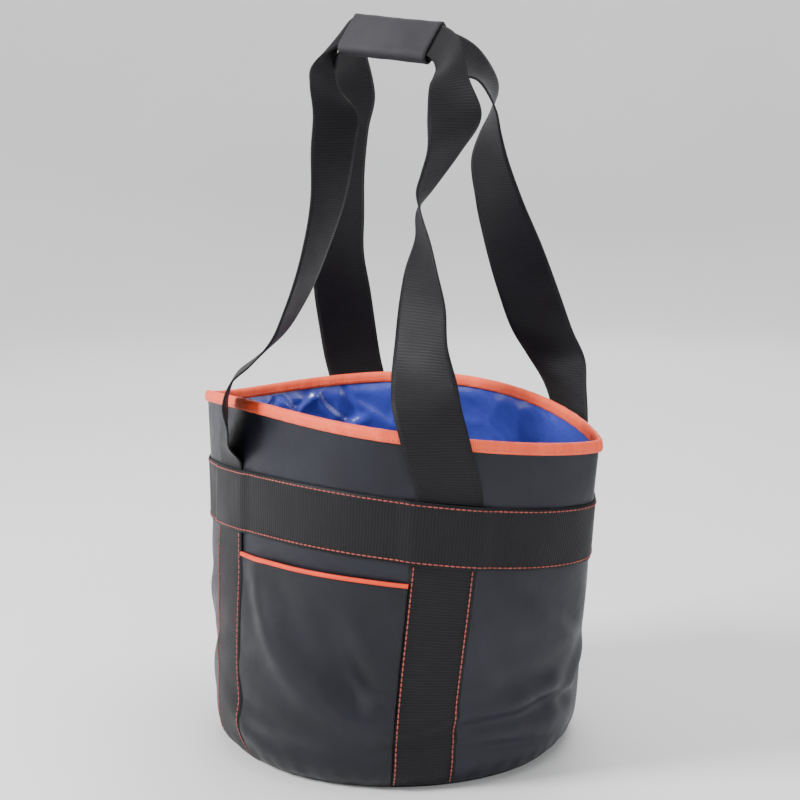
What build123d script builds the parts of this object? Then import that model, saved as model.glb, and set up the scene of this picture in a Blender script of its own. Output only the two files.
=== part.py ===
from build123d import *
from math import cos, exp, hypot, pi, radians, sin
import os

os.makedirs("parts", exist_ok=True)

# Tool bucket organizer, millimetres. Origin at the centre of the base, +Z up,
# X along the long axis of the mouth, -Y towards the pocket side.

# bucket body
BASE_RADIUS = 150.0
BASE_TUCK = 17.0
TUCK_HEIGHT = 9.0
RIM_HEIGHT = 285.0
CORNER_DROOP = 20.0
LEVEL_BELOW = 10.0
DROOP_SPAN = 190.0

# mouth of the bucket, pressed from a circle into a pointed oval
MOUTH_HALF_LENGTH = 184.0
MOUTH_SHIFT_X = 6.0
MOUTH_FRONT_BULGE = 128.0
MOUTH_BACK_BULGE = 104.0
MOUTH_SHIFT_Y = -16.4
MOUTH_FRONT_SHEAR = -17.5
MOUTH_BACK_SHEAR = -9.0
CORNER_ROUND = 0.25
CORNER_BLEND = 0.14
BULGE_POWER = 1.7
SQUEEZE = (
    (0, 0.0),
    (40, 0.03),
    (90, 0.2),
    (140, 0.42),
    (190, 0.637),
    (234, 0.807),
    (288, 1.0),
    (310, 1.08),
)

# cloth, tape and thread
WALL_THICKNESS = 1.2
LINING_THICKNESS = 0.8
BASE_THICKNESS = 1.5
BOARD_THICKNESS = 2.5
BOARD_RADIUS = 132.0
BINDING_THICKNESS = 1.0
BINDING_LEAF = 7.5
WEBBING_WIDTH = 50.0
SEWN_WEBBING_THICKNESS = 1.2
FREE_WEBBING_THICKNESS = 1.6
THREAD = 0.8
THREAD_PROUD = 0.4
SEAM_INSET = 3.5
BAND_SEAM_INSET = 2.2
SEAM_END_GAP = 0.5

# waist band, straps and pocket, heights measured at the front of the bucket
BAND_LOW = 187.5
BAND_HIGH = 236.0
STRAP_TOP = 239.0
STRAP_ANGLES = {
    "strap_front_left": -31.0,
    "strap_front_right": 40.0,
    "strap_back_left": -148.7,
    "strap_back_right": 134.4,
}
POCKET_TOP = 169.0
POCKET_THICKNESS = 1.0
POCKET_SIDE_GAP = 0.2
PIPING_HEIGHT = 4.0
PIPING_THICKNESS = 2.2

# handle wrap
GRIP_CENTRE = (-3.0, -2.0, 560.0)
GRIP_LENGTH = 80.0
GRIP_DROOP = 6.0
GRIP_TILT = 50.0
GRIP_FACE = 38.0
GRIP_DEPTH = 12.0
GRIP_WALL = 2.0
GRIP_CORNER = 3.5
GRIP_INNER_CORNER = 1.0
GRIP_PARTING = 2.5
GRIP_GAP = 0.2
BUNDLE_WIDTH = 32.0
BUNDLE_GAP = 0.5

# how finely the cloth surface is divided
OUTLINE_SIDES = 32
WALL_LEVELS = (-4, 4, 12, 26, 70, 130, 190, 245, 295)
STRIP_LEVELS = (0, 12, 26, 60, 130, 190, 245)
STRIP_DEPTH = 16.0
POCKET_SPACE = (-8.0, 40.0)
TANGENT_STEP = 0.004
SLAB_REACH = 1.25 * MOUTH_HALF_LENGTH


def squeeze(height):
    """Share of the way from the round base to the pointed mouth."""
    low_h, low_s = SQUEEZE[0]
    for high_h, high_s in SQUEEZE[1:]:
        if height <= high_h:
            share = max(0.0, (height - low_h) / (high_h - low_h))
            return low_s + share * (high_s - low_s)
        low_h, low_s = high_h, high_s
    return SQUEEZE[-1][1]


def droop(height):
    """How far a level sags at the corners of the mouth."""
    return CORNER_DROOP * min(1.0, max(0.0, (height - LEVEL_BELOW) / DROOP_SPAN))


def outline(angle, z):
    """Outer face of the cloth wall at a plan angle, 0 at the front, + to the right."""
    share = squeeze(z + droop(z) * sin(angle) ** 2)
    radius = BASE_RADIUS - BASE_TUCK * exp(-z / TUCK_HEIGHT)
    front = cos(angle)
    bulge = MOUTH_FRONT_BULGE if front >= 0 else -MOUTH_BACK_BULGE
    shear = MOUTH_FRONT_SHEAR if front >= 0 else MOUTH_BACK_SHEAR
    reach = CORNER_ROUND * abs(front) + (1 - CORNER_ROUND) * abs(front) ** BULGE_POWER
    skew = (hypot(front, CORNER_BLEND) - CORNER_BLEND) * (1 + CORNER_BLEND)
    mouth_x = MOUTH_HALF_LENGTH * sin(angle) + MOUTH_SHIFT_X
    mouth_y = MOUTH_SHIFT_Y - bulge * reach + shear * 2 * sin(angle) * skew
    x = (1 - share) * radius * sin(angle) + share * mouth_x
    y = -(1 - share) * radius * front + share * mouth_y
    return x, y


def wall_frame(angle, z, outset=0.0):
    """Point on the wall, moved out by outset, with its tangent and outward normal."""
    x0, y0 = outline(angle - TANGENT_STEP, z)
    x1, y1 = outline(angle + TANGENT_STEP, z)
    run = hypot(x1 - x0, y1 - y0)
    tx, ty = (x1 - x0) / run, (y1 - y0) / run
    x, y = outline(angle, z)
    return (x + outset * ty, y - outset * tx), (tx, ty), (ty, -tx)


def filled_to(outset):
    """Solid bucket filled out to the wall's outer face plus an outset."""
    with BuildPart() as bucket:
        for z in WALL_LEVELS:
            corners = []
            for i in range(OUTLINE_SIDES):
                angle = 2 * pi * (i + 0.5) / OUTLINE_SIDES
                corners.append(wall_frame(angle, z, outset)[0])
            with BuildSketch(Plane.XY.offset(z)):
                with BuildLine():
                    Polyline(*corners, close=True)
                make_face()
        loft(ruled=True)
    return bucket.part


def level_slab(low, high):
    """Slice of space between two levels that sag towards the corners of the mouth."""
    ends = []
    with BuildPart() as slab:
        with BuildSketch(Plane.XZ):
            with BuildLine():
                for level in (low, high):
                    end = level - droop(level) * (SLAB_REACH / MOUTH_HALF_LENGTH) ** 2
                    ends.append(end)
                    if end < level:
                        ThreePointArc((-SLAB_REACH, end), (0, level), (SLAB_REACH, end))
                    else:
                        Line((-SLAB_REACH, end), (SLAB_REACH, end))
                for side in (-SLAB_REACH, SLAB_REACH):
                    Line((side, ends[0]), (side, ends[1]))
            make_face()
        extrude(amount=SLAB_REACH, both=True)
    return slab.part


def layer(outer, inner, low, high):
    """Cloth layer between two filled buckets and two sagging levels."""
    slab = level_slab(low, high)
    with BuildPart() as sheet:
        add(outer)
        add(slab, mode=Mode.INTERSECT)
        add(inner, mode=Mode.SUBTRACT)
    return sheet.part


def strip(angle_deg, offset, width):
    """Upright slice through the wall that follows one strap from base to band."""
    with BuildPart() as cutter:
        for z in STRIP_LEVELS:
            centre, tangent, _ = wall_frame(radians(angle_deg), z)
            origin = (centre[0] + offset * tangent[0], centre[1] + offset * tangent[1], z)
            with BuildSketch(Plane(origin=origin, x_dir=(*tangent, 0), z_dir=(0, 0, 1))):
                Rectangle(width, STRIP_DEPTH)
        loft(ruled=True)
    return cutter.part


def pocket_space():
    """Space in front of the wall between the two front straps."""
    with BuildPart() as space:
        for z in STRIP_LEVELS:
            corners = []
            for name, side in (("strap_front_left", 1), ("strap_front_right", -1)):
                centre, tangent, normal = wall_frame(radians(STRAP_ANGLES[name]), z)
                shift = side * (WEBBING_WIDTH / 2 + POCKET_SIDE_GAP)
                edge = (centre[0] + shift * tangent[0], centre[1] + shift * tangent[1])
                pair = []
                for depth in POCKET_SPACE:
                    pair.append((edge[0] + depth * normal[0], edge[1] + depth * normal[1]))
                corners.extend(pair if side > 0 else reversed(pair))
            with BuildSketch(Plane.XY.offset(z)):
                with BuildLine():
                    Polyline(*corners, close=True)
                make_face()
        loft(ruled=True)
    return space.part


def save(part, name):
    part.label = name
    export_step(part, "parts/" + name + ".step")


# filled buckets, one for each face of the cloth, tape and webbing
inner_face = -WALL_THICKNESS - LINING_THICKNESS
band_face = 2 * SEWN_WEBBING_THICKNESS
wall_outside = filled_to(0.0)
wall_inside = filled_to(-WALL_THICKNESS)
lining_inside = filled_to(inner_face)
strap_outside = filled_to(SEWN_WEBBING_THICKNESS)
band_outside = filled_to(band_face)
binding_outside = filled_to(BINDING_THICKNESS)
binding_inside = filled_to(inner_face - BINDING_THICKNESS)

# base, stiffening board and bottom of the lining
board_top = BASE_THICKNESS + BOARD_THICKNESS
base_slab = level_slab(0, BASE_THICKNESS)
with BuildPart() as outer_base:
    add(wall_outside)
    add(base_slab, mode=Mode.INTERSECT)
save(outer_base.part, "outer_base")

with BuildPart() as base_board:
    with BuildSketch(Plane.XY.offset(BASE_THICKNESS)):
        Circle(BOARD_RADIUS)
    extrude(amount=BOARD_THICKNESS)
save(base_board.part, "base_board")

lining_slab = level_slab(board_top, board_top + LINING_THICKNESS)
with BuildPart() as lining_base:
    add(lining_inside)
    add(lining_slab, mode=Mode.INTERSECT)
save(lining_base.part, "lining_base")

# wall and lining
wall_slab = level_slab(BASE_THICKNESS, RIM_HEIGHT)
with BuildPart() as outer_wall:
    add(wall_outside)
    add(wall_slab, mode=Mode.INTERSECT)
    add(wall_inside, mode=Mode.SUBTRACT)
save(outer_wall.part, "outer_wall")

lining_wall_slab = level_slab(board_top, RIM_HEIGHT)
with BuildPart() as lining_wall:
    add(wall_inside)
    add(lining_wall_slab, mode=Mode.INTERSECT)
    add(lining_inside, mode=Mode.SUBTRACT)
save(lining_wall.part, "lining_wall")

# tape folded over the rim: two leaves and the fold that joins them
leaf_low = RIM_HEIGHT - BINDING_LEAF
fold_slab = level_slab(leaf_low, RIM_HEIGHT + BINDING_THICKNESS)
cloth_under_tape = layer(wall_outside, lining_inside, leaf_low - BINDING_LEAF, RIM_HEIGHT)
with BuildPart() as rim_binding:
    add(binding_outside)
    add(fold_slab, mode=Mode.INTERSECT)
    add(binding_inside, mode=Mode.SUBTRACT)
    add(cloth_under_tape, mode=Mode.SUBTRACT)
save(rim_binding.part, "rim_binding")

rim_seam = leaf_low + BAND_SEAM_INSET
rim_seam_slab = level_slab(rim_seam, rim_seam + THREAD)
rim_thread_face = filled_to(BINDING_THICKNESS + THREAD_PROUD)
with BuildPart() as rim_stitching:
    add(rim_thread_face)
    add(rim_seam_slab, mode=Mode.INTERSECT)
    add(binding_outside, mode=Mode.SUBTRACT)
save(rim_stitching.part, "rim_stitching")

# waist band over the straps, with a row of thread along each edge
band_slab = level_slab(BAND_LOW, BAND_HIGH)
with BuildPart() as waist_band:
    add(band_outside)
    add(band_slab, mode=Mode.INTERSECT)
    add(strap_outside, mode=Mode.SUBTRACT)
save(waist_band.part, "waist_band")

band_thread_face = filled_to(band_face + THREAD_PROUD)
band_threads = []
for seam in (BAND_LOW + BAND_SEAM_INSET, BAND_HIGH - BAND_SEAM_INSET - THREAD):
    band_threads.append(layer(band_thread_face, band_outside, seam, seam + THREAD))
with BuildPart() as waist_band_stitching:
    for thread in band_threads:
        add(thread)
save(waist_band_stitching.part, "waist_band_stitching")

# four sewn straps and the threads down their edges
webbing_ring = layer(strap_outside, wall_outside, BASE_THICKNESS, STRAP_TOP)
thread_lines = []
for name, angle_deg in STRAP_ANGLES.items():
    strap_strip = strip(angle_deg, 0.0, WEBBING_WIDTH)
    with BuildPart() as strap:
        add(webbing_ring)
        add(strap_strip, mode=Mode.INTERSECT)
    save(strap.part, name)
    for side in (-1, 1):
        thread_lines.append(strip(angle_deg, side * (WEBBING_WIDTH / 2 - SEAM_INSET), THREAD))

strap_thread_face = filled_to(SEWN_WEBBING_THICKNESS + THREAD_PROUD)
thread_ring = layer(strap_thread_face, strap_outside, board_top, BAND_LOW - SEAM_END_GAP)
with BuildPart() as strap_stitching:
    for line in thread_lines:
        add(line)
    add(thread_ring, mode=Mode.INTERSECT)
save(strap_stitching.part, "strap_stitching")

# front pocket and the piping along its mouth
between_straps = pocket_space()
pocket_face = filled_to(POCKET_THICKNESS)
pocket_ring = layer(pocket_face, wall_outside, BASE_THICKNESS, POCKET_TOP)
with BuildPart() as front_pocket:
    add(pocket_ring)
    add(between_straps, mode=Mode.INTERSECT)
save(front_pocket.part, "front_pocket")

piping_face = filled_to(PIPING_THICKNESS)
piping_ring = layer(piping_face, wall_outside, POCKET_TOP, POCKET_TOP + PIPING_HEIGHT)
with BuildPart() as pocket_piping:
    add(piping_ring)
    add(between_straps, mode=Mode.INTERSECT)
save(pocket_piping.part, "pocket_piping")

# handles: centre point, direction of the width as yaw and pitch, width, thickness
LEG_FRONT_LEFT = (
    (-89, -111, 238, -34, 0, 50, 1.6),
    (-82, -120, 253, -44, 0, 50, 1.6),
    (-70, -132, 271, -52, 0, 50, 1.6),
    (-68, -136, 289, -57, 0, 50, 1.6),
    (-66, -128, 305, -58, 0, 50, 1.6),
    (-56, -117, 317, -60, 0, 50, 1.6),
    (-42, -103, 336, -66, 0, 50, 1.6),
    (-37, -88, 358, -72, 0, 50, 1.6),
    (-36, -59, 402, -80, 0, 50, 1.6),
    (-37, -40, 440, -89, 0, 50, 1.6),
    (-39, -30, 480, -102, 0, 48, 1.8),
    (-40, -25, 505, -108, 0, 45, 1.8),
    (-50, -28, 528, -92, 0, 36, 2.2),
    (-55, -22, 550, -90, -25, 36, 2.4),
)
LEG_FRONT_RIGHT = (
    (56, -15, 549, -96, -36, 38, 2.4),
    (66, -31, 529, -104, -8, 42, 2.2),
    (76, -40, 503, -116, 0, 48, 1.8),
    (74, -51, 479, -90, 0, 50, 1.6),
    (70, -61, 462, -80, 0, 50, 1.6),
    (67, -69, 449, -72, 0, 50, 1.6),
    (67, -76, 437, -58, 0, 50, 1.6),
    (76, -86, 413, -46, 0, 50, 1.6),
    (81, -96, 392, -31, 0, 50, 1.6),
    (86, -103, 370, -18, 0, 50, 1.6),
    (92, -114, 342, -10, 0, 50, 1.6),
    (101, -124, 316, 12, 0, 50, 1.6),
    (110, -134, 298, 28, 0, 50, 1.6),
    (115, -135, 284, 35, 0, 50, 1.6),
    (118, -128, 258, 36, 0, 50, 1.6),
    (121, -122, 237, 36, 0, 50, 1.6),
)
LEG_BACK_LEFT = (
    (-90, 90, 238, -155, 0, 50, 1.6),
    (-98, 94, 264, -154, 0, 50, 1.6),
    (-104, 92, 292, -150, 0, 50, 1.6),
    (-104, 85, 318, -144, 0, 50, 1.6),
    (-102, 74, 352, -136, 0, 50, 1.6),
    (-97, 62, 385, -116, 0, 50, 1.6),
    (-87, 50, 419, -110, 0, 50, 1.6),
    (-77, 38, 455, -105, 0, 50, 1.6),
    (-66, 29, 492, -104, 0, 48, 1.8),
    (-54, 25, 522, -102, 0, 44, 2.2),
    (-50, 14, 546, -95, -25, 40, 2.4),
)
LEG_BACK_RIGHT = (
    (59, 13, 543, -88, -28, 40, 2.4),
    (70, 22, 529, -80, 0, 44, 2.2),
    (75, 21, 509, -58, 0, 48, 1.8),
    (69, 27, 490, -42, 0, 50, 1.6),
    (64, 35, 472, -28, 0, 50, 1.6),
    (66, 48, 437, -13, 0, 50, 1.6),
    (72, 61, 402, 4, 0, 50, 1.6),
    (79, 78, 360, 26, 0, 50, 1.6),
    (86, 90, 328, 28, 0, 50, 1.6),
    (95, 97, 306, 8, 0, 50, 1.6),
    (106, 90, 286, -18, 0, 50, 1.6),
    (120, 73, 262, -30, 0, 50, 1.6),
    (134, 54, 237, -37, 0, 50, 1.6),
)

grip_x = Vector(cos(radians(GRIP_DROOP)), 0, -sin(radians(GRIP_DROOP)))
tilt_line = Vector(0, cos(radians(GRIP_TILT)), sin(radians(GRIP_TILT)))
grip_face = grip_x.cross(tilt_line).normalized()
grip_across = grip_face.cross(grip_x).normalized()
grip_centre = Vector(*GRIP_CENTRE)


def width_direction(yaw, pitch):
    level = cos(radians(pitch))
    return Vector(level * cos(radians(yaw)), level * sin(radians(yaw)), sin(radians(pitch)))


def grip_section(share, face_side):
    """Bundled webbing at one mouth of the wrap, on one side of the parting."""
    thickness = GRIP_DEPTH / 2 - GRIP_WALL - BUNDLE_GAP
    shift = face_side * (BUNDLE_GAP + thickness / 2)
    origin = grip_centre + grip_x * (share * GRIP_LENGTH / 2) + grip_face * shift
    return Plane(origin=origin, x_dir=-grip_across, z_dir=grip_x), BUNDLE_WIDTH, thickness


def webbing_loop(left_leg, right_leg, face_side):
    """One length of webbing from the left leg through the wrap to the right leg."""
    mouths = (grip_section(-1, face_side), grip_section(1, face_side))
    centres = [Vector(*row[:3]) for row in left_leg]
    centres.extend(mouth[0].origin for mouth in mouths)
    centres.extend(Vector(*row[:3]) for row in right_leg)
    rows = list(left_leg) + list(mouths) + list(right_leg)
    sections = []
    for i, row in enumerate(rows):
        if len(row) == 3:
            sections.append(row)
            continue
        run = centres[min(i + 1, len(rows) - 1)] - centres[max(i - 1, 0)]
        across = width_direction(row[3], row[4])
        run = (run - across * run.dot(across)).normalized()
        sections.append((Plane(origin=centres[i], x_dir=across, z_dir=run), row[5], row[6]))
    with BuildPart() as loop:
        for plane, width, thickness in sections:
            with BuildSketch(plane):
                Rectangle(width, thickness)
        loft(ruled=True)
    return loop.part


def grip_panel(face_side):
    """Half of the handle wrap: one broad face and the edge it closes over."""
    start = grip_centre - grip_x * (GRIP_LENGTH / 2)
    plane = Plane(origin=start, x_dir=grip_across, z_dir=grip_x)
    with BuildPart() as panel:
        with BuildSketch(plane):
            RectangleRounded(GRIP_FACE, GRIP_DEPTH, GRIP_CORNER)
            RectangleRounded(
                GRIP_FACE - 2 * GRIP_WALL,
                GRIP_DEPTH - 2 * GRIP_WALL,
                GRIP_INNER_CORNER,
                mode=Mode.SUBTRACT,
            )
            for end in (-1, 1):
                cut = end * GRIP_PARTING + face_side * GRIP_GAP
                with Locations((end * GRIP_FACE / 4, cut - face_side * GRIP_DEPTH / 2)):
                    Rectangle(GRIP_FACE / 2, GRIP_DEPTH, mode=Mode.SUBTRACT)
        extrude(amount=GRIP_LENGTH)
    return panel.part


save(webbing_loop(LEG_FRONT_LEFT, LEG_FRONT_RIGHT, 1), "front_handle_webbing")
save(webbing_loop(LEG_BACK_LEFT, LEG_BACK_RIGHT, -1), "back_handle_webbing")
save(grip_panel(1), "grip_upper_panel")
save(grip_panel(-1), "grip_lower_panel")
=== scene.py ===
import math

import bpy
import numpy as np
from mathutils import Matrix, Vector, noise


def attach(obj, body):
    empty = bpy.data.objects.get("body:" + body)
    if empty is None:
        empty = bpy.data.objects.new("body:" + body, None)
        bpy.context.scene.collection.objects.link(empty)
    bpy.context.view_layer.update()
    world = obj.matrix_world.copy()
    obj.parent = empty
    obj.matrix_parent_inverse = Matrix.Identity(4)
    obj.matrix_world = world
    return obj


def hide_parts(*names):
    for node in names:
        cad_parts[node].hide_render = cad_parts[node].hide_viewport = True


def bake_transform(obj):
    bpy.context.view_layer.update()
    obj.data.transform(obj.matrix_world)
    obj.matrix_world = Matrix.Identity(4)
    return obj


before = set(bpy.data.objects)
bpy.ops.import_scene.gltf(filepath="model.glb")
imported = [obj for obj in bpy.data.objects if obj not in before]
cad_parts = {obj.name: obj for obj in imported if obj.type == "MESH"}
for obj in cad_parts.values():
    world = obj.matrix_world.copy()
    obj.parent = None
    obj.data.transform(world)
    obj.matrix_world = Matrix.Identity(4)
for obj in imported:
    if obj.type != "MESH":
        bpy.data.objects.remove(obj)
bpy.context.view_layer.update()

# Lengths below are millimetres in the CAD frame, turned to metres when a mesh is made.
MM = 0.001

# ---------------------------------------------------------------- shape of the bucket
BASE_RADIUS = 150.0
BASE_TUCK = 17.0
TUCK_HEIGHT = 9.0
RIM_HEIGHT = 285.0
CORNER_DROOP = 20.0
LEVEL_BELOW = 10.0
DROOP_SPAN = 190.0
# The rim's lift at the front left is only in this model, not in the CAD.
RIM_LIFT = 6.0
LIFT_ANGLE = math.radians(-50)
LIFT_SPREAD = math.radians(52)
MOUTH_HALF_LENGTH = 184.0
MOUTH_SHIFT_X = 6.0
MOUTH_FRONT_BULGE = 128.0
MOUTH_BACK_BULGE = 104.0
MOUTH_SHIFT_Y = -16.4
MOUTH_FRONT_SHEAR = -17.5
MOUTH_BACK_SHEAR = -9.0
CORNER_ROUND = 0.25
CORNER_BLEND = 0.14
BULGE_POWER = 1.7
SQUEEZE_HEIGHTS = (-20, 0, 40, 90, 140, 190, 234, 288, 310)
SQUEEZE_SHARES = (0, 0, 0.03, 0.2, 0.42, 0.637, 0.807, 1.0, 1.08)

# The way round the cloth at the base radius and half of it, both rounded.
GIRTH = 942.5
HALF_GIRTH = 471.2

WEBBING = 50.0
WEBBING_THICK = 1.5
BAND_LOW = 187.5
BAND_HIGH = 236.0
STRAP_TOP = 239.0
POCKET_TOP = 169.0
STRAP_OUTSET = 0.35
STRAPS = {"front_left": -31.0, "front_right": 40.0, "back_left": -148.7, "back_right": 134.4}
SEAM_INSET = 3.5
BAND_SEAM_INSET = 2.4
SEAM_CLEAR = 0.1
ANGLE_STEP = 0.004


def smooth_through(keys, values, at):
    """Cubic curve through the keys, each of which holds one value or an array of them."""
    keys = np.asarray(keys, float)
    values = np.asarray(values, float)
    at = np.asarray(at, float)
    slope = np.gradient(values, keys, axis=0)
    i = np.clip(np.searchsorted(keys, at, side="right") - 1, 0, len(keys) - 2)
    step = keys[i + 1] - keys[i]
    s = (at - keys[i]) / step
    extra = (1,) * (values.ndim - 1)
    s = s.reshape(s.shape + extra)
    step = step.reshape(step.shape + extra)
    rise = (1 + 2 * s) * (1 - s) ** 2 * values[i] + s * (1 - s) ** 2 * step * slope[i]
    return rise + s * s * (3 - 2 * s) * values[i + 1] + s * s * (s - 1) * step * slope[i + 1]


def smoothstep(low, high, x):
    """Smooth rise from 0 at low to 1 at high."""
    t = np.clip((np.asarray(x, float) - low) / (high - low), 0, 1)
    return t * t * (3 - 2 * t)


def outline(angle, level):
    """Plan position of the cloth at a plan angle and a level measured up the cloth."""
    share = smooth_through(SQUEEZE_HEIGHTS, SQUEEZE_SHARES, level)
    radius = BASE_RADIUS - BASE_TUCK * np.exp(-np.maximum(level, 0) / TUCK_HEIGHT)
    front = np.cos(angle)
    bulge = np.where(front >= 0, MOUTH_FRONT_BULGE, -MOUTH_BACK_BULGE)
    shear = np.where(front >= 0, MOUTH_FRONT_SHEAR, MOUTH_BACK_SHEAR)
    reach = CORNER_ROUND * abs(front) + (1 - CORNER_ROUND) * abs(front) ** BULGE_POWER
    skew = (np.hypot(front, CORNER_BLEND) - CORNER_BLEND) * (1 + CORNER_BLEND)
    mouth_x = MOUTH_HALF_LENGTH * np.sin(angle) + MOUTH_SHIFT_X
    mouth_y = MOUTH_SHIFT_Y - bulge * reach + shear * 2 * np.sin(angle) * skew
    x = (1 - share) * radius * np.sin(angle) + share * mouth_x
    y = -(1 - share) * radius * front + share * mouth_y
    return x, y


def sagged(angle, level):
    """Height of a level at a plan angle: levels sag towards the corners of the mouth."""
    droop = CORNER_DROOP * np.clip((level - LEVEL_BELOW) / DROOP_SPAN, 0, 1)
    turn = (angle - LIFT_ANGLE + np.pi) % (2 * np.pi) - np.pi
    lift = RIM_LIFT * np.exp(-(turn / LIFT_SPREAD) ** 4) * smoothstep(BAND_HIGH, RIM_HEIGHT, level)
    return level - droop * np.sin(angle) ** 2 + lift


def tangent(angle, level):
    """Direction of the outline in plan, and its length in mm for each radian of plan angle."""
    x0, y0 = outline(angle - ANGLE_STEP, level)
    x1, y1 = outline(angle + ANGLE_STEP, level)
    run = np.hypot(x1 - x0, y1 - y0)
    return (x1 - x0) / run, (y1 - y0) / run, run / (2 * ANGLE_STEP)


def angle_gap(angle, centre_deg):
    """Distance along the cloth from a strap's middle, in mm at the base radius."""
    gap = (angle - math.radians(centre_deg) + np.pi) % (2 * np.pi) - np.pi
    return gap * BASE_RADIUS


def lumps(x, y, seed):
    """Smooth noise at each point of two arrays, from about -1 to 1."""
    out = np.empty(x.shape)
    flat = out.ravel()
    for k, (a, b) in enumerate(zip(x.ravel(), y.ravel())):
        flat[k] = noise.noise(Vector((a, b, seed)))
    return out * 1.6


# Soft folds: place along the cloth, level, lean in degrees, length, width, height, bend.
FOLDS = (
    (14, 79, -36, 80, 14, 6.6, -0.0042),
    (40, 102, -66, 40, 12, -4.6, 0.0),
    (-6, 28, -3, 60, 11, 2.6, 0.0),
    (-50, 34, -24, 40, 10, 2.2, 0.0),
    (-44, 134, -60, 30, 9, -1.8, 0.0),
    (138, 52, 8, 74, 7, -3.6, 0.0015),
    (170, 31, -6, 46, 6, -3.4, 0.0),
    (196, 74, 12, 36, 11, 3.8, 0.0),
    (195, 135, -32, 46, 13, 4.2, 0.0),
    (160, 104, -52, 40, 11, -2.2, 0.0),
    (226, 58, -12, 34, 9, -4.8, 0.0),
    (230, 38, -10, 34, 10, 2.6, 0.0),
    (-128, 70, 40, 50, 9, 2.2, 0.004),
    (-170, 100, 55, 60, 10, 2.4, 0.004),
    (-230, 60, 38, 60, 10, -2.4, 0.004),
    (-290, 80, -40, 60, 11, 2.6, 0.004),
    (262, 84, 34, 56, 11, 2.4, 0.004),
    (300, 110, 48, 56, 10, -2.2, 0.004),
    (400, 70, -36, 60, 10, 2.6, 0.004),
    (440, 110, 30, 52, 9, -2.2, 0.004),
    (470, 50, -20, 60, 10, 2.0, 0.004),
    (-350, 70, 36, 60, 10, 2.6, 0.004),
    (-420, 96, -36, 60, 9, 2.2, 0.004),
)

# Sharp creases of the lining near the left end of the mouth, in the same terms.
LINING_CREASES = (
    (-300, 262, 58, 20, 3.0, 2.6, 0.0),
    (-318, 270, -48, 18, 2.6, -2.4, 0.0),
    (-334, 258, 64, 26, 3.2, 3.4, 0.006),
    (-350, 266, -36, 18, 2.6, 2.6, 0.0),
    (-366, 254, 52, 26, 3.0, 3.2, -0.006),
    (-382, 266, 74, 20, 3.0, -2.4, 0.0),
    (-330, 240, 22, 28, 4.0, 3.0, 0.0),
    (-374, 236, -26, 26, 4.0, 2.8, 0.0),
    (-400, 250, 40, 24, 3.4, 2.2, 0.0),
    (-428, 262, -60, 22, 3.0, 1.8, 0.0),
)


def crests(table, angle, level):
    """Sum of the folds of a table at each point of the cloth."""
    along_cloth = angle * BASE_RADIUS
    out = np.zeros(np.broadcast(angle, level).shape)
    for place, height, lean, length, width, rise, bend in table:
        c = math.cos(math.radians(lean))
        s = math.sin(math.radians(lean))
        a = (along_cloth - place + HALF_GIRTH) % GIRTH - HALF_GIRTH
        b = level - height
        along = a * c + b * s
        across = -a * s + b * c + bend * along ** 2
        hollow = 0.45 * np.exp(-((across - 1.6 * width) / width) ** 2)
        crest = np.exp(-(across / width) ** 2) - hollow
        out = out + rise * crest * np.exp(-(along / length) ** 4)
    return out


def folds(angle, level):
    """How far the soft cloth stands out from its plain shape."""
    out = crests(FOLDS, angle, level)
    out = out + 1.1 * np.sin(3 * angle + 0.02 * level + 0.6) * smoothstep(20, 90, level)
    out = out + 0.8 * np.sin(7 * angle - 0.03 * level) * smoothstep(30, 110, level)
    out = out * (1 - 0.7 * smoothstep(165, 190, level))
    for centre in STRAPS.values():
        out = out * (1 - 0.45 * np.exp(-(angle_gap(angle, centre) / 24) ** 4))
    pucker = np.sin(46 * angle + 2 * np.sin(5 * angle)) * np.exp(-((level - 9) / 9) ** 2)
    soft_foot = np.sin(5 * angle + 1.0) + 0.7 * np.sin(9 * angle + 2.4)
    out = out + 0.5 * pucker + 1.1 * soft_foot * np.exp(-((level - 12) / 16) ** 2)
    return out * smoothstep(-1, 9, level)


def wall(angle, level, outset=0.0):
    """Points on the cloth wall, moved out by an outset."""
    angle, level = np.broadcast_arrays(np.asarray(angle, float), np.asarray(level, float))
    outset = outset + folds(angle, level)
    x, y = outline(angle, level)
    tx, ty, _ = tangent(angle, level)
    return np.stack([x + outset * ty, y - outset * tx, sagged(angle, level)], -1)


# ---------------------------------------------------------------- mesh helpers
def make_mesh(name, points, faces, uv=None, columns=0, wrap=0.0):
    """Mesh object with a place in mm for each point and, if given, for its texture.

    On a closed grid the last faces join back to the first column. Wrap is what is added to
    that column's texture place there, so that the texture doesn't run backwards.
    """
    mesh = bpy.data.meshes.new(name)
    mesh.from_pydata((np.asarray(points) * MM).tolist(), [], faces)
    if uv is not None:
        layer = mesh.uv_layers.new(name="UVMap")
        loops = np.empty(len(mesh.loops), int)
        mesh.loops.foreach_get("vertex_index", loops)
        places = np.asarray(uv, float)[loops]
        if wrap:
            last = (np.arange(len(loops)) // 4) % columns == columns - 1
            places[last & (loops % columns == 0), 0] += wrap
        layer.data.foreach_set("uv", (places * MM).ravel())
    mesh.polygons.foreach_set("use_smooth", [True] * len(mesh.polygons))
    mesh.update()
    piece = bpy.data.objects.new(name, mesh)
    bpy.context.scene.collection.objects.link(piece)
    return piece


def grid_faces(rows, columns, closed=False, flip=False):
    """Quads of a grid of points; closed joins the last column to the first."""
    faces = []
    for r in range(rows - 1):
        for c in range(columns if closed else columns - 1):
            d = (c + 1) % columns
            quad = (r * columns + c, r * columns + d, (r + 1) * columns + d, (r + 1) * columns + c)
            faces.append(quad[::-1] if flip else quad)
    return faces


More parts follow.
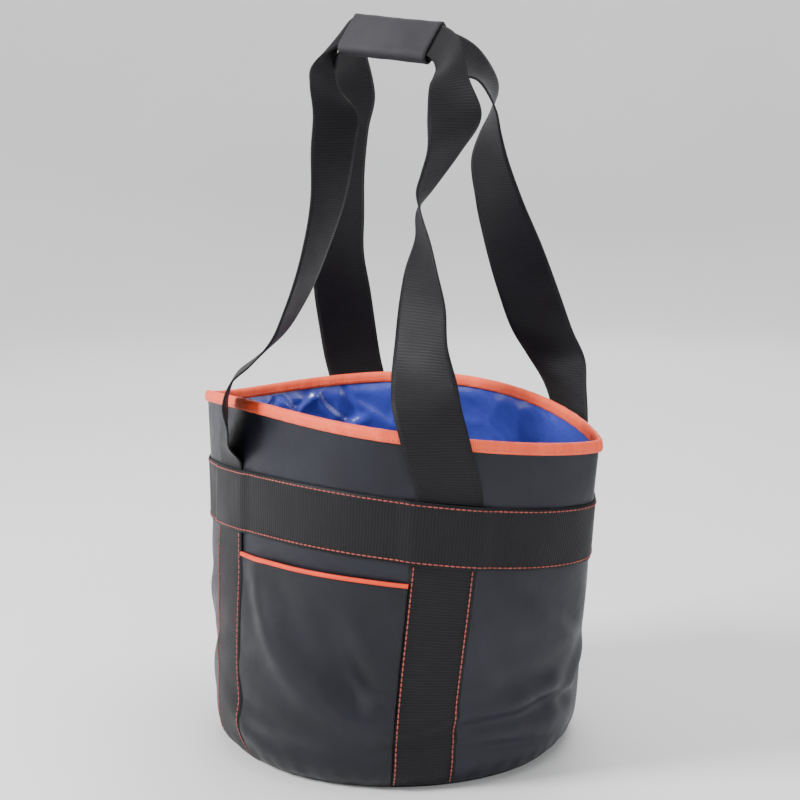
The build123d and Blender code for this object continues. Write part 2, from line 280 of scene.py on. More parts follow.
def grid_piece(name, points, closed=False, flip=False, uv=None):
    """Mesh object from a grid of points, and texture places in mm if they are given."""
    rows, columns = points.shape[:2]
    flat_uv = None if uv is None else uv.reshape(-1, 2)
    wrap = (flat_uv[columns - 1, 0] - flat_uv[0, 0]) * columns / (columns - 1) if closed else 0.0
    faces = grid_faces(rows, columns, closed, flip)
    return make_mesh(name, points.reshape(-1, 3), faces, flat_uv, columns, wrap)


def thicken(piece, thickness, offset):
    """Gives a sheet its thickness, on the side its faces point to (1) or behind them (-1)."""
    modifier = piece.modifiers.new("thickness", "SOLIDIFY")
    modifier.thickness = thickness * MM
    modifier.offset = offset
    modifier.use_even_offset = True


def arc_lengths(points):
    """Distance along a line of points, from its first point."""
    steps = np.linalg.norm(np.diff(points, axis=0), axis=1)
    return np.concatenate([[0], np.cumsum(steps)])


# ---------------------------------------------------------------- material helpers
class Nodes:
    """Short names for building one material's node tree."""

    def __init__(self, name):
        self.material = bpy.data.materials.new(name)
        self.material.use_nodes = True
        self.tree = self.material.node_tree
        self.shader = self.tree.nodes["Principled BSDF"]

    def add(self, kind, **settings):
        node = self.tree.nodes.new(kind)
        for key, value in settings.items():
            if key in node.inputs:
                node.inputs[key].default_value = value
            else:
                setattr(node, key, value)
        return node

    def link(self, source, target):
        self.tree.links.new(source, target)

    def where(self, output):
        if not hasattr(self, "coordinates"):
            self.coordinates = self.add("ShaderNodeTexCoord")
        return self.coordinates.outputs[output]

    def scaled(self, output, scale):
        node = self.add("ShaderNodeMapping")
        node.inputs["Scale"].default_value = scale
        self.link(self.where(output), node.inputs["Vector"])
        return node.outputs["Vector"]

    def ramp(self, source, stops):
        node = self.add("ShaderNodeValToRGB")
        elements = node.color_ramp.elements
        while len(elements) < len(stops):
            elements.new(0.5)
        for element, (place, colour) in zip(elements, stops):
            element.position = place
            element.color = (*colour, 1) if len(colour) == 3 else colour
        self.link(source, node.inputs["Fac"])
        return node.outputs["Color"]

    def noise(self, vector, scale, detail=3.0, roughness=0.5):
        node = self.add("ShaderNodeTexNoise")
        node.inputs["Scale"].default_value = scale
        node.inputs["Detail"].default_value = detail
        node.inputs["Roughness"].default_value = roughness
        self.link(vector, node.inputs["Vector"])
        return node.outputs["Fac"]

    def wave(self, vector, scale, direction="X", distortion=0.0):
        node = self.add("ShaderNodeTexWave", wave_type="BANDS", bands_direction=direction)
        node.inputs["Scale"].default_value = scale
        node.inputs["Distortion"].default_value = distortion
        self.link(vector, node.inputs["Vector"])
        return node.outputs["Fac"]

    def colour(self, source, dark, light, low=0.3, high=0.7):
        """Base colour that goes from dark to light as the source goes from low to high."""
        tone = self.ramp(source, ((low, dark), (high, light)))
        self.link(tone, self.shader.inputs["Base Color"])

    def rough(self, source, smooth, coarse):
        """Roughness between two values, by a noise."""
        tone = self.ramp(source, ((0.3, (smooth,) * 3), (0.7, (coarse,) * 3)))
        self.link(tone, self.shader.inputs["Roughness"])

    def math(self, operation, a, b):
        node = self.add("ShaderNodeMath", operation=operation)
        for socket, value in zip(node.inputs, (a, b)):
            if isinstance(value, (int, float)):
                socket.default_value = value
            else:
                self.link(value, socket)
        return node.outputs[0]

    def bump(self, layers):
        """Stacked bumps: (height output, strength, distance in mm), finest first."""
        normal = None
        for height, strength, distance in layers:
            node = self.add("ShaderNodeBump")
            node.inputs["Strength"].default_value = strength
            node.inputs["Distance"].default_value = distance * MM
            self.link(height, node.inputs["Height"])
            if normal is not None:
                self.link(normal, node.inputs["Normal"])
            normal = node.outputs["Normal"]
        self.link(normal, self.shader.inputs["Normal"])

    def set(self, **values):
        for key, value in values.items():
            self.shader.inputs[key.replace("_", " ")].default_value = value
        return self


# A wave texture of scale 1 repeats each 2 pi / 20 metres.
WAVE_PERIOD = 2 * math.pi / 20
# Distances in mm between ribs or twists of the woven parts.
WEBBING_RIB = 2.3
WEBBING_GRAIN = 2.9
TAPE_RIB = 1.3
THREAD_TWIST = 0.7


def rib_scale(pitch_mm):
    """Wave texture scale that gives one rib each pitch, on coordinates in metres."""
    return WAVE_PERIOD / (pitch_mm * MM)


def cloth_material(name, dark, light, roughness, pitch=0.9):
    """Woven cloth with soft creases; pitch is the distance between threads in mm."""
    n = Nodes(name)
    place = n.where("Object")
    patches = n.noise(place, 14.0, 4.0)
    n.colour(patches, dark, light, high=0.72)
    n.rough(n.noise(place, 60.0, 3.0), *roughness)
    uv = n.where("UV")
    threads = [n.wave(uv, rib_scale(pitch), direction) for direction in "XY"]
    weave = n.math("MAXIMUM", *threads)
    creases = n.noise(place, 34.0, 5.0, 0.55)
    n.bump([(creases, 0.5, 1.4), (weave, 0.25, 0.12)])
    n.set(Sheen_Weight=0.01, Sheen_Roughness=0.4, Specular_IOR_Level=0.3)
    return n.material


def webbing_material(name, dark, light):
    """Webbing with ribs across it and a coarser grain along it."""
    n = Nodes(name)
    uv = n.where("UV")
    place = n.where("Object")
    ribs = n.wave(uv, rib_scale(WEBBING_RIB), "X")
    grain = n.wave(uv, rib_scale(WEBBING_GRAIN), "Y")
    patches = n.noise(place, 22.0, 4.0)
    tone = n.math("ADD", n.math("MULTIPLY", ribs, 0.55), n.math("MULTIPLY", patches, 0.6))
    n.colour(tone, dark, light, 0.25, 0.85)
    n.rough(patches, 0.5, 0.66)
    n.bump([(n.noise(place, 60.0, 3.0), 0.25, 0.6), (ribs, 0.4, 0.3), (grain, 0.2, 0.15)])
    n.set(Sheen_Weight=0.02, Sheen_Roughness=0.5, Specular_IOR_Level=0.22)
    return n.material


def tape_material(name, dark, light):
    """Narrow woven tape, slightly creased."""
    n = Nodes(name)
    uv = n.where("UV")
    place = n.where("Object")
    ribs = n.wave(uv, rib_scale(TAPE_RIB), "X", 0.3)
    patches = n.noise(n.scaled("UV", (1, 0.35, 1)), 70.0, 4.0)
    tone = n.math("ADD", n.math("MULTIPLY", ribs, 0.3), n.math("MULTIPLY", patches, 0.8))
    n.colour(tone, dark, light, 0.28, 0.75)
    n.rough(patches, 0.5, 0.68)
    n.bump([(n.noise(place, 90.0, 3.0), 0.35, 0.8), (ribs, 0.2, 0.2)])
    n.set(Sheen_Weight=0.03, Sheen_Roughness=0.4, Specular_IOR_Level=0.28)
    return n.material


def thread_material(name, dark, light):
    """Twisted thread."""
    n = Nodes(name)
    place = n.where("Object")
    n.colour(n.noise(place, 260.0, 2.0), dark, light)
    n.bump([(n.wave(place, rib_scale(THREAD_TWIST), "DIAGONAL"), 0.4, 0.15)])
    n.set(Roughness=0.62, Sheen_Weight=0.2)
    return n.material


def lining_material(name, deep, bright):
    """Glossy coated sheet with wrinkles."""
    n = Nodes(name)
    place = n.where("Object")
    n.colour(n.noise(place, 9.0, 3.0), deep, bright, high=0.75)
    n.rough(n.noise(place, 40.0, 2.0), 0.16, 0.3)
    n.bump([(n.noise(place, 26.0, 5.0, 0.6), 0.5, 3.0), (n.noise(place, 90.0, 3.0), 0.3, 0.6)])
    n.set(Specular_IOR_Level=0.6, Coat_Weight=0.35, Coat_Roughness=0.12)
    return n.material


def board_material(name, dark, light):
    """Stiff matt board."""
    n = Nodes(name)
    place = n.where("Object")
    n.colour(n.noise(place, 30.0, 3.0), dark, light)
    n.bump([(n.noise(place, 300.0, 3.0), 0.3, 0.2)])
    n.set(Roughness=0.6)
    return n.material


body_cloth = cloth_material(
    "body_cloth", (0.0052, 0.0058, 0.0105), (0.0115, 0.013, 0.021), (0.42, 0.54))
pocket_cloth = cloth_material(
    "pocket_cloth", (0.0033, 0.0038, 0.0062), (0.0072, 0.0083, 0.0135), (0.44, 0.56))
grip_cloth = cloth_material(
    "grip_cloth", (0.016, 0.0155, 0.0195), (0.034, 0.033, 0.039), (0.65, 0.8), pitch=1.4)
webbing = webbing_material("webbing", (0.0018, 0.0017, 0.0026), (0.0085, 0.0078, 0.0100))
binding_tape = tape_material("binding_tape", (0.80, 0.065, 0.025), (1.0, 0.135, 0.05))
piping_tape = tape_material("piping_tape", (0.64, 0.030, 0.008), (0.88, 0.075, 0.020))
seam_thread = thread_material("seam_thread", (0.27, 0.032, 0.019), (0.44, 0.065, 0.040))
rim_thread = thread_material("rim_thread", (0.55, 0.07, 0.03), (0.85, 0.17, 0.075))
lining_sheet = lining_material("lining_sheet", (0.034, 0.042, 0.26), (0.070, 0.100, 0.56))
board_plastic = board_material("board_plastic", (0.03, 0.03, 0.03), (0.05, 0.05, 0.05))


def dress(piece, material, body, slot_name, *nodes):
    """Gives a finished piece its material and the body it rides on, and hides the CAD parts it
    stands for.
    """
    piece.data.materials.append(material)
    if body:
        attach(piece, body)
    if nodes:
        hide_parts(*nodes)


# ---------------------------------------------------------------- camera
CAMERA_AZIMUTH = 32.0
CAMERA_ELEVATION = 10.0
CAMERA_DISTANCE = 1382.0
CAMERA_TARGET = (2.5, 1.5, 275.7)
CAMERA_LENS = 76.6

camera_data = bpy.data.cameras.new("camera")
camera_data.lens = CAMERA_LENS
camera = bpy.data.objects.new("camera", camera_data)
bpy.context.scene.collection.objects.link(camera)
turn, rise = math.radians(CAMERA_AZIMUTH), math.radians(CAMERA_ELEVATION)
back = Vector((math.sin(turn) * math.cos(rise), -math.cos(turn) * math.cos(rise), math.sin(rise)))
camera.location = Vector(CAMERA_TARGET) * MM + back * CAMERA_DISTANCE * MM
camera.rotation_mode = "QUATERNION"
camera.rotation_quaternion = (-back).to_track_quat("-Z", "Y")
bpy.context.scene.camera = camera

# ---------------------------------------------------------------- outer cloth
AROUND = 420
WALL_TOP = RIM_HEIGHT - 0.5
WALL_THICK = 1.2
BASE_LEVEL = 1.4
BASE_THICK = 1.3


def cloth_uv(angle, level):
    """Texture places in mm along and up the cloth."""
    return np.stack([angle * BASE_RADIUS, level], -1)


angles = np.linspace(0, 2 * np.pi, AROUND, endpoint=False)
wall_levels = np.concatenate([np.linspace(0.8, 30, 16), np.linspace(33, WALL_TOP, 92)])
a, h = np.meshgrid(angles, wall_levels)
bucket_wall = grid_piece("bucket_wall", wall(a, h), closed=True, uv=cloth_uv(a, h))
thicken(bucket_wall, WALL_THICK, -1)
dress(bucket_wall, body_cloth, "bucket", "body_cloth", "outer_wall")


def disc_piece(name, radius_at, height_at, rings=26, spokes=160):
    """Round sheet; its edge radius and its height may change from place to place."""
    points, faces, flat = [(0.0, 0.0, height_at(0.0, 0.0))], [], [(0.0, 0.0)]
    for r in range(1, rings + 1):
        for s in range(spokes):
            angle = 2 * math.pi * s / spokes
            reach = radius_at(angle) * (r / rings)
            x, y = reach * math.sin(angle), -reach * math.cos(angle)
            points.append((x, y, height_at(x, y)))
            flat.append((x, y))
    for s in range(spokes):
        t = (s + 1) % spokes
        faces.append((0, 1 + s, 1 + t))
        for r in range(rings - 1):
            low, high = 1 + r * spokes, 1 + (r + 1) * spokes
            faces.append((low + s, high + s, high + t, low + t))
    return make_mesh(name, points, faces, flat)


def foot_radius(angle):
    """Edge of the base, just inside the foot of the wall."""
    return float(np.hypot(*wall(angle, 1.5)[:2])) - 0.4


bucket_base = disc_piece("bucket_base", foot_radius, lambda x, y: BASE_LEVEL)
thicken(bucket_base, BASE_THICK, -1)
dress(bucket_base, body_cloth, "bucket", "body_cloth", "outer_base")

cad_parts["base_board"].data.materials.clear()
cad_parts["base_board"].data.materials.append(board_plastic)

# ---------------------------------------------------------------- lining
LINING_THICK = 0.6
LINING_INSET = 2.4
LINING_DEEPEST = 11
FLOOR_RADIUS = 135.0
FLOOR_LEVEL = 5.0
lining_levels = np.concatenate([np.linspace(4.6, 30, 12), np.linspace(33, WALL_TOP, 100)])
lining_angle, lining_level = np.meshgrid(angles, lining_levels)


def ring_noise(scale, seed, lean=0.0, ridged=False):
    """Noise at the lining's grid that closes on itself round the bucket, leaning along it."""
    out = np.empty(lining_angle.shape)
    flat = out.ravel()
    reach = BASE_RADIUS / scale
    turned = lining_angle + lean * lining_level / BASE_RADIUS
    for k, (t, level) in enumerate(zip(turned.ravel(), lining_level.ravel())):
        place = (reach * math.cos(t), reach * math.sin(t), level / scale + seed)
        flat[k] = noise.noise(Vector(place))
    return 1 - abs(out) * 3.0 if ridged else out * 1.5


creases = 1.3 * ring_noise(34, 3.0, 0.5, True) + 0.7 * ring_noise(15, 9.0, -0.6, True)
bulges = 2.6 * ring_noise(60, 21.0)
signed_angle = (lining_angle + np.pi) % (2 * np.pi) - np.pi
sharp = crests(LINING_CREASES, signed_angle, lining_level)
loose = 1 - smoothstep(RIM_HEIGHT - 18, RIM_HEIGHT - 5, lining_level)
inward = LINING_INSET + np.clip(2.2 + creases + bulges + sharp, 0, LINING_DEEPEST) * loose
bucket_lining = grid_piece("bucket_lining", wall(lining_angle, lining_level, -inward),
                           closed=True, flip=True, uv=cloth_uv(lining_angle, lining_level))
thicken(bucket_lining, LINING_THICK, -1)
dress(bucket_lining, lining_sheet, "bucket", "lining", "lining_wall")


def floor_height(x, y):
    """Height of the lining's floor, with low wrinkles."""
    return FLOOR_LEVEL + 0.7 * abs(noise.noise(Vector((x / 30, y / 30, 5.0)))) * 2


lining_floor = disc_piece("lining_floor", lambda angle: FLOOR_RADIUS, floor_height)
thicken(lining_floor, LINING_THICK, -1)
dress(lining_floor, lining_sheet, "bucket", "lining", "lining_base")

# ---------------------------------------------------------------- stitches
# Along one stitch: place as a share of its length, and thickness there.
STITCH_RINGS = ((-0.5, 0.35), (-0.36, 0.9), (0.0, 1.0), (0.36, 0.9), (0.5, 0.35))
STITCH_SIDES = 6


def stitch_row(line, normals, length=3.3, gap=0.8, width=1.0, height=0.55):
    """Points and faces of a row of raised stitches along a line of points."""
    reach = arc_lengths(line)

    def along_line(values, at):
        return np.array([np.interp(at, reach, values[:, j]) for j in range(3)])

    points, faces = [], []
    count = int(reach[-1] / (length + gap))
    pitch = reach[-1] / count
    for k in range(count):
        middle = (k + 0.5) * pitch
        base = len(points)
        for share, size in STITCH_RINGS:
            at = middle + share * length
            here = along_line(line, at)
            out = along_line(normals, at)
            side = np.cross(along_line(line, at + 0.5) - along_line(line, at - 0.5), out)
            side /= np.linalg.norm(side)
            for m in range(STITCH_SIDES):
                turn = 2 * math.pi * m / STITCH_SIDES
                points.append(here + side * math.cos(turn) * width / 2 * size
                              + out * (math.sin(turn) * height * size))
        ring_faces = grid_faces(len(STITCH_RINGS), STITCH_SIDES, closed=True)
        faces.extend(tuple(base + v for v in face) for face in ring_faces)
        last = base + (len(STITCH_RINGS) - 1) * STITCH_SIDES
        faces.append(tuple(base + m for m in reversed(range(STITCH_SIDES))))
        faces.append(tuple(last + m for m in range(STITCH_SIDES)))
    return points, faces


def stitches_piece(name, rows, **sizes):
    """One piece from rows of stitches, each row a line of points and its normals."""
    points, faces = [], []
    for line, normals in rows:
        more_points, more_faces = stitch_row(line, normals, **sizes)
        shift = len(points)
        points.extend(more_points)
        faces.extend(tuple(v + shift for v in face) for face in more_faces)
    return make_mesh(name, points, faces)


def outward(angle, level):
    """Level direction straight out of the cloth."""
    tx, ty, _ = tangent(angle, level)
    return np.stack([ty, -tx, np.zeros(np.shape(tx))], -1)


# ---------------------------------------------------------------- waist band
BAND_OUTSET = 0.3
BAND_STEP = 1.9
BAND_TEXTURE_STRETCH = 1.1


def band_outset(angle):
    """The band lies on the wall and steps out over each strap."""
    out = np.full(np.shape(angle), BAND_OUTSET)
    for centre in STRAPS.values():
        gap = abs(angle_gap(angle, centre))
        out = np.maximum(out, BAND_OUTSET + BAND_STEP * (1 - smoothstep(21, 33, gap)))
    return out


fine = np.linspace(0, 2 * np.pi, 720, endpoint=False)
closed_fine = np.append(fine, 2 * np.pi)
a, h = np.meshgrid(fine, np.linspace(BAND_LOW, BAND_HIGH, 15))
edge_curl = 0.35 * np.sin(23 * a + 1.0) * abs((h - (BAND_LOW + BAND_HIGH) / 2) / 24) ** 3
band_points = wall(a, h, band_outset(a) + edge_curl)
waist_band = grid_piece("waist_band_webbing", band_points, closed=True,
                        uv=cloth_uv(a * BAND_TEXTURE_STRETCH, h))
thicken(waist_band, WEBBING_THICK, 1)
dress(waist_band, webbing, "bucket", "webbing", "waist_band")

band_rows = []
for level in (BAND_LOW + BAND_SEAM_INSET, BAND_HIGH - BAND_SEAM_INSET):
    line = wall(closed_fine, level, band_outset(closed_fine) + WEBBING_THICK + SEAM_CLEAR)
    band_rows.append((line, outward(closed_fine, np.full(closed_fine.shape, level))))
band_stitches = stitches_piece("band_stitches", band_rows)
dress(band_stitches, seam_thread, "bucket", "thread", "waist_band_stitching")

# ---------------------------------------------------------------- pocket
def strap_edge(centre_deg, level, shift):
    """Plan angle at a distance along the cloth from a strap's middle."""
    middle = np.full(np.shape(level), math.radians(centre_deg))
    _, _, speed = tangent(middle, level)
    return middle + shift / speed


POCKET_OUTSET = 0.35
POCKET_THICK = 0.9
POCKET_UNDER_STRAP = 1.0
pocket_levels = np.linspace(2.0, POCKET_TOP, 84)
share = np.linspace(0, 1, 76)
edge_shift = WEBBING / 2 - POCKET_UNDER_STRAP
left_edge = strap_edge(STRAPS["front_left"], pocket_levels, edge_shift)
right_edge = strap_edge(STRAPS["front_right"], pocket_levels, -edge_shift)
a = left_edge[:, None] + (right_edge - left_edge)[:, None] * share[None, :]
h = np.broadcast_to(pocket_levels[:, None], a.shape)
fullness = smoothstep(4, 40, h) * (0.8 + 1.2 * smoothstep(90, POCKET_TOP, h))
belly = np.sin(np.pi * share)[None, :] ** 0.7 * fullness
rumple = 0.7 * np.clip(lumps(a * 6 + h / 60, h / 34 - a * 3, 4.0), 0, 1)
pocket_out = POCKET_OUTSET + belly + rumple
pocket = grid_piece("pocket_panel", wall(a, h, pocket_out), uv=cloth_uv(a, h))
thicken(pocket, POCKET_THICK, 1)
dress(pocket, pocket_cloth, "bucket", "body_cloth", "front_pocket")

# Round the piping: distance out from the pocket and height above its top.
PIPING_PROFILE = ((0.1, -0.8), (1.3, -0.7), (1.9, -0.4), (2.1, 0.5), (2.0, 1.6), (1.5, 2.4),
                  (0.6, 2.8), (-0.2, 2.4), (-0.5, 1.0), (-0.5, -0.4))
top_angle = a[-1]
top_out = pocket_out[-1] + 0.2
PIPING_NEAREST = 0.15


def profile_uv(columns, rows, spacing):
    """Texture places for a profile that runs along the cloth, its points evenly spaced."""
    return np.stack(np.meshgrid(columns * BASE_RADIUS, np.arange(rows) * spacing), -1)


piping_points = np.stack([wall(top_angle, POCKET_TOP + up, np.maximum(top_out + out, PIPING_NEAREST))
                          for out, up in PIPING_PROFILE + PIPING_PROFILE[:1]])
piping = grid_piece("pocket_piping_tape", piping_points,
                    uv=profile_uv(top_angle, len(piping_points), 2.0))
dress(piping, piping_tape, "bucket", "piping", "pocket_piping")

# ---------------------------------------------------------------- rim binding
# Round the binding: distance out from the wall and height above the binding's level.
RIM_PROFILE = ((0.4, -7.1), (1.1, -7.2), (1.5, -6.6), (1.6, -4.9), (1.5, -2.6), (1.2, -0.7),
               (0.4, 0.4), (-1.0, 0.8), (-2.2, 0.4), (-3.1, -0.7), (-3.5, -2.6), (-3.5, -4.9),
               (-3.4, -6.6), (-3.0, -7.2), (-2.4, -7.1))
BINDING_LEVEL = RIM_HEIGHT - 0.6
BINDING_THICK = 0.5
ripple = 0.28 * np.sin(61 * fine + 3 * np.sin(4 * fine)) + 0.2 * np.sin(97 * fine + 1.7)
rows = []
for out, up in RIM_PROFILE:
    place = wall(fine, BINDING_LEVEL, out + ripple * (1 if out > -1 else -1) * 0.6)
    place[:, 2] += up
    rows.append(place)
rim = grid_piece("rim_binding_tape", np.stack(rows), closed=True,
                 uv=profile_uv(fine, len(rows), 2.1))
thicken(rim, BINDING_THICK, 1)
dress(rim, binding_tape, "bucket", "binding", "rim_binding")

RIM_SEAM_DROP = 5.4
rim_rows = []
for out, side in ((2.15, 1), (-4.05, -1)):
    line = wall(closed_fine, BINDING_LEVEL, out)
    line[:, 2] -= RIM_SEAM_DROP
    rim_rows.append((line, side * outward(closed_fine, np.full(closed_fine.shape, RIM_HEIGHT))))
rim_stitches = stitches_piece("rim_stitches", rim_rows, length=2.8, gap=0.8, width=0.8,
                              height=0.35)
dress(rim_stitches, rim_thread, "bucket", "rim_thread", "rim_stitching")

# ---------------------------------------------------------------- handles
# Centre point, yaw and pitch of the width in degrees, and width. They follow the CAD, except
# for a few near the wrap, which close a gap beside it.
LEG_FRONT_LEFT = (
    (-82, -120, 253, -44, 0, 50), (-70, -132, 271, -52, 0, 50), (-68, -136, 289, -57, 0, 50),
    (-66, -128, 305, -58, 0, 50), (-56, -117, 317, -60, 0, 50), (-42, -103, 336, -66, 0, 50),
    (-37, -88, 358, -72, 0, 50), (-36, -59, 402, -80, 0, 50), (-37, -40, 440, -89, 0, 50),
    (-39, -30, 480, -102, 0, 48), (-40, -25, 505, -108, 0, 45), (-49, -28, 528, -92, 0, 36),
    (-53, -20, 550, -90, -25, 40),
)
LEG_FRONT_RIGHT = (
    (56, -15, 549, -96, -36, 38), (66, -31, 529, -104, -8, 42), (76, -40, 503, -116, 0, 48),
    (74, -51, 479, -90, 0, 50), (70, -61, 462, -80, 0, 50), (67, -69, 449, -72, 0, 50),
    (67, -76, 437, -58, 0, 50), (76, -86, 413, -46, 0, 50), (81, -96, 392, -31, 0, 50),
    (86, -103, 370, -18, 0, 50), (92, -114, 342, -10, 0, 50), (101, -124, 316, 12, 0, 50),
    (110, -134, 298, 28, 0, 50), (115, -135, 284, 35, 0, 50), (118, -128, 258, 36, 0, 50),
)
LEG_BACK_LEFT = (
    (-98, 94, 264, -154, 0, 50), (-104, 92, 292, -150, 0, 50), (-104, 85, 318, -144, 0, 50),
    (-102, 74, 352, -136, 0, 50), (-97, 62, 385, -116, 0, 50), (-87, 50, 419, -110, 0, 50),
    (-77, 38, 455, -105, 0, 50), (-66, 29, 492, -104, 0, 49), (-55, 22, 522, -102, 0, 50),
    (-51, 11, 546, -95, -25, 46),
)
LEG_BACK_RIGHT = (
    (59, 13, 543, -88, -28, 40), (70, 22, 529, -80, 0, 44), (75, 21, 509, -58, 0, 48),
    (69, 27, 490, -42, 0, 50), (64, 35, 472, -28, 0, 50), (66, 48, 437, -13, 0, 50),
    (72, 61, 402, 4, 0, 50), (79, 78, 360, 26, 0, 50), (86, 90, 328, 28, 0, 50),
    (95, 97, 306, 8, 0, 50), (106, 90, 286, -18, 0, 50), (120, 73, 262, -30, 0, 50),
)
GRIP_CENTRE = np.array((-3.0, -2.0, 563.0))
GRIP_LENGTH = 80.0
GRIP_DROOP = math.radians(6.0)
GRIP_TILT = math.radians(50.0)
GRIP_FACE = 38.0
GRIP_DEPTH = 12.0
GRIP_ROUND_IN = 6.0
GRIP_ROUND_DOWN = 4.6
GRIP_LONG_EDGE = -0.7
GRIP_SHORT_EDGE = 1.1
GRIP_CLOTH_THICK = 1.8
GRIP_FLARE = 0.02
BUNDLE_HALF_WIDTH = 15.0
BUNDLE_OUT = 2.4
grip_x = np.array((math.cos(GRIP_DROOP), 0, -math.sin(GRIP_DROOP)))
grip_face = np.cross(grip_x, (0, math.cos(GRIP_TILT), math.sin(GRIP_TILT)))
grip_face /= np.linalg.norm(grip_face)
grip_across = np.cross(grip_face, grip_x)

ACROSS = np.linspace(-1, 1, 13)


def strap_rows(name, turn_sign):
    """Rows of the sewn part of a strap, from the base up to where it leaves the band."""
    rows = []
    shift = turn_sign * ACROSS * WEBBING / 2
    for level in np.concatenate([np.linspace(2.0, BAND_LOW, 40), np.linspace(195, STRAP_TOP, 8)]):
        angle = strap_edge(STRAPS[name], np.full(ACROSS.shape, level), shift)
        rows.append(wall(angle, level, STRAP_OUTSET))
    return rows


def leg_rows(leg):
    """Rows of the free part of a strap, one at each station."""
    rows = []
    for x, y, z, yaw, pitch, width in leg:
        yaw, pitch = math.radians(yaw), math.radians(pitch)
        across = np.array((math.cos(pitch) * math.cos(yaw), math.cos(pitch) * math.sin(yaw),
                           math.sin(pitch)))
        rows.append(np.array((x, y, z)) + np.outer(ACROSS * width / 2, across))
    return rows


def grip_rows(side):
    """Rows of the part of a strap that runs through the wrap, on one side of its middle."""
    rows = []
    for share in (-1.0, -0.5, 0.0, 0.5, 1.0):
        along = grip_x * (share * GRIP_LENGTH / 2)
        middle = GRIP_CENTRE + along + grip_face * side * BUNDLE_OUT
        rows.append(middle + np.outer(ACROSS * BUNDLE_HALF_WIDTH, -grip_across))
    return rows


RIBBON_STEP = 2.6


def handle_webbing(name, left, right, left_leg, right_leg, left_sign, right_sign, side):
    """One length of webbing: up one strap, through the wrap and down the other strap."""
    keys = strap_rows(left, left_sign) + leg_rows(left_leg) + grip_rows(side) + leg_rows(right_leg)
    keys = np.stack(keys + strap_rows(right, right_sign)[::-1])
    reach = arc_lengths(keys[:, len(ACROSS) // 2])
    at = np.linspace(0, reach[-1], int(reach[-1] / RIBBON_STEP))
    points = smooth_through(reach, keys, at)
    uv = np.stack([np.broadcast_to(at[:, None], points.shape[:2]),
                   np.broadcast_to(ACROSS * WEBBING / 2, points.shape[:2])], -1)
    piece = grid_piece(name, points, uv=uv, flip=left_sign < 0)
    thicken(piece, WEBBING_THICK, 1)
    return piece, reach[-1]


HANDLES = (
    ("front_handle_ribbon", "front_left", "front_right", LEG_FRONT_LEFT, LEG_FRONT_RIGHT, 1, 1, 1,
     "front_handle", ("front_handle_webbing", "strap_front_left", "strap_front_right")),
    ("back_handle_ribbon", "back_left", "back_right", LEG_BACK_LEFT, LEG_BACK_RIGHT, 1, -1, -1,
     "back_handle", ("back_handle_webbing", "strap_back_left", "strap_back_right")),
)
for name, left, right, left_leg, right_leg, left_sign, right_sign, side, body, nodes in HANDLES:
    ribbon, length = handle_webbing(name, left, right, left_leg, right_leg, left_sign,
                                    right_sign, side)
    dress(ribbon, webbing, None, "webbing", *nodes)
    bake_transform(ribbon)

strap_rows_of_stitches = []
for centre in STRAPS.values():
    for side in (-1, 1):
        levels = np.linspace(4.0, BAND_LOW - 1.0, 60)
        angle = strap_edge(centre, levels, side * (WEBBING / 2 - SEAM_INSET))
        line = wall(angle, levels, STRAP_OUTSET + WEBBING_THICK + SEAM_CLEAR)
        strap_rows_of_stitches.append((line, outward(angle, levels)))
strap_stitches = stitches_piece("strap_stitches", strap_rows_of_stitches)
dress(strap_stitches, seam_thread, "bucket", "thread", "strap_stitching")

# ---------------------------------------------------------------- handle wrap
def grip_profile(side):
    """Points round one half: the closing edge, the broad face with round corners, the short edge."""
    half, deep = GRIP_FACE / 2, GRIP_DEPTH / 2
    shoulder = deep - GRIP_ROUND_DOWN
    corner = []
    for step in range(7):
        turn = math.radians(90 * step / 6)
        corner.append((half - GRIP_ROUND_IN + GRIP_ROUND_IN * math.sin(turn),
                       shoulder + GRIP_ROUND_DOWN * math.cos(turn)))
    flat = [(x, deep) for x in np.linspace(-half + GRIP_ROUND_IN, half - GRIP_ROUND_IN, 12)[1:-1]]
    mirrored = [(-x, y) for x, y in corner]
    closing = [(-half, y) for y in np.linspace(shoulder, GRIP_LONG_EDGE, 4)[1:]]
    short = [(half, y) for y in np.linspace(shoulder, GRIP_SHORT_EDGE, 3)[1:]]
    profile = closing[::-1] + mirrored[::-1] + flat + corner + short
    return [(side * x, side * y) for x, y in profile]


def grip_half(name, side, body, node):
    """Half of the wrap: a broad face with rounded corners and the edges that close over."""
    profile = grip_profile(side)
    stations = np.linspace(-1, 1, 29)
    rows = []
    for share in stations:
        grow = 1.0 + GRIP_FLARE * abs(share) ** 6
        along = GRIP_CENTRE + grip_x * (share * GRIP_LENGTH / 2)
        row = []
        for x, y in profile:
            lump = 0.5 * noise.noise(Vector((share * 3.0, x / 14.0, 7.0 * side)))
            row.append(along + grip_across * x * grow + grip_face * (y * grow + lump * side))
        rows.append(row)
    uv = np.stack(np.meshgrid(np.arange(len(profile)) * 3.0, stations * GRIP_LENGTH / 2), -1)
    piece = grid_piece(name, np.array(rows), uv=uv[:, :, ::-1])
    thicken(piece, GRIP_CLOTH_THICK, 1)
    dress(piece, grip_cloth, body, "grip_cloth", node)


grip_half("grip_wrap_upper", 1, "front_handle", "grip_upper_panel")
grip_half("grip_wrap_lower", -1, "back_handle", "grip_lower_panel")

# ---------------------------------------------------------------- floor and light
FLOOR_REACH = 2600.0
COVE_RADIUS = 900.0
BACKDROP_HEIGHT = 2600.0
BACKDROP_SPOKES = 64


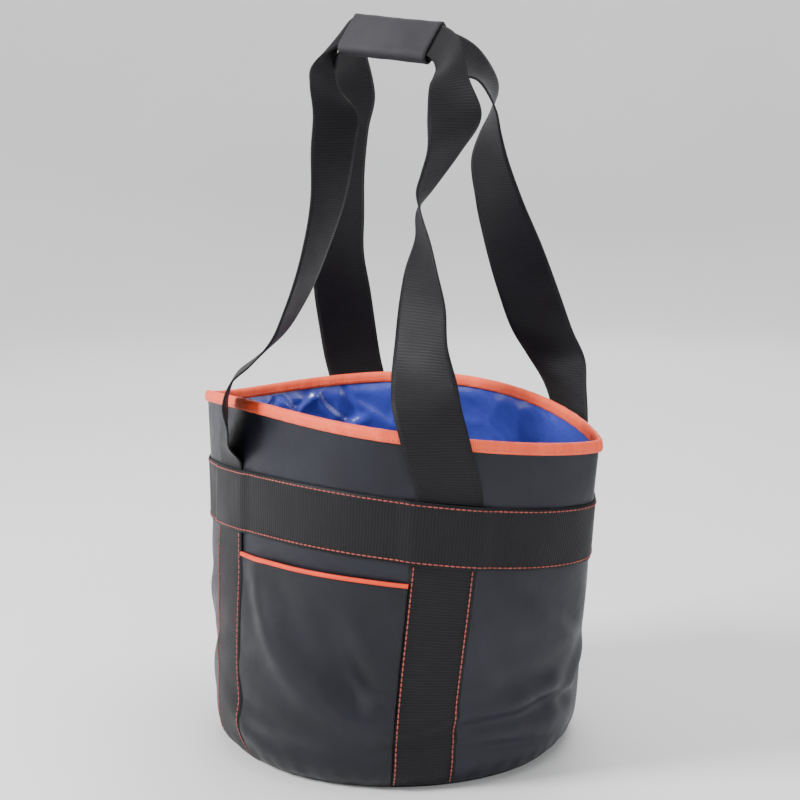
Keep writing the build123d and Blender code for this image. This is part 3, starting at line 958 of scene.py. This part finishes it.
def backdrop():
    """Pale floor that curves up into a wall behind the object, all round."""
    rings = [(0.0, 0.0), (900.0, 0.0), (1800.0, 0.0), (FLOOR_REACH, 0.0)]
    for step in range(1, 9):
        turn = math.radians(90 * step / 8)
        rings.append((FLOOR_REACH + COVE_RADIUS * math.sin(turn),
                      COVE_RADIUS * (1 - math.cos(turn))))
    rings.append((FLOOR_REACH + COVE_RADIUS, BACKDROP_HEIGHT))
    points = []
    for reach, height in rings:
        for s in range(BACKDROP_SPOKES):
            angle = 2 * math.pi * s / BACKDROP_SPOKES
            points.append((reach * math.cos(angle), reach * math.sin(angle), height))
    faces = grid_faces(len(rings), BACKDROP_SPOKES, closed=True)
    piece = make_mesh("studio_floor", points, faces)
    n = Nodes("studio_floor")
    n.colour(n.noise(n.where("Object"), 1.2, 2.0), (0.78, 0.78, 0.785), (0.82, 0.82, 0.822))
    n.set(Roughness=0.75, Specular_IOR_Level=0.2)
    piece.data.materials.append(n.material)
    return piece


backdrop()


def soft_light(name, place, target, size, power):
    """White area light at a place in metres, turned to a target."""
    data = bpy.data.lights.new(name, "AREA")
    data.shape = "RECTANGLE"
    data.size, data.size_y = size
    data.energy = power
    lamp = bpy.data.objects.new(name, data)
    lamp.location = place
    lamp.rotation_mode = "QUATERNION"
    lamp.rotation_quaternion = (Vector(target) - Vector(place)).to_track_quat("-Z", "Y")
    bpy.context.scene.collection.objects.link(lamp)


soft_light("key", (-1.35, -1.75, 1.6), (0, 0, 0.3), (0.7, 0.7), 104)
soft_light("fill", (2.2, -1.0, 1.2), (0, 0, 0.3), (1.6, 1.6), 16)
soft_light("top", (0.2, 0.4, 2.4), (0, 0, 0.2), (1.8, 1.8), 46)
soft_light("rear", (-1.0, 2.2, 1.6), (0, 0, 0.3), (1.6, 1.2), 30)

WORLD_COLOUR = (0.86, 0.88, 0.9, 1)
WORLD_STRENGTH = 0.4
world = bpy.data.worlds.new("world")
world.use_nodes = True
world.node_tree.nodes["Background"].inputs["Color"].default_value = WORLD_COLOUR
world.node_tree.nodes["Background"].inputs["Strength"].default_value = WORLD_STRENGTH
bpy.context.scene.world = world
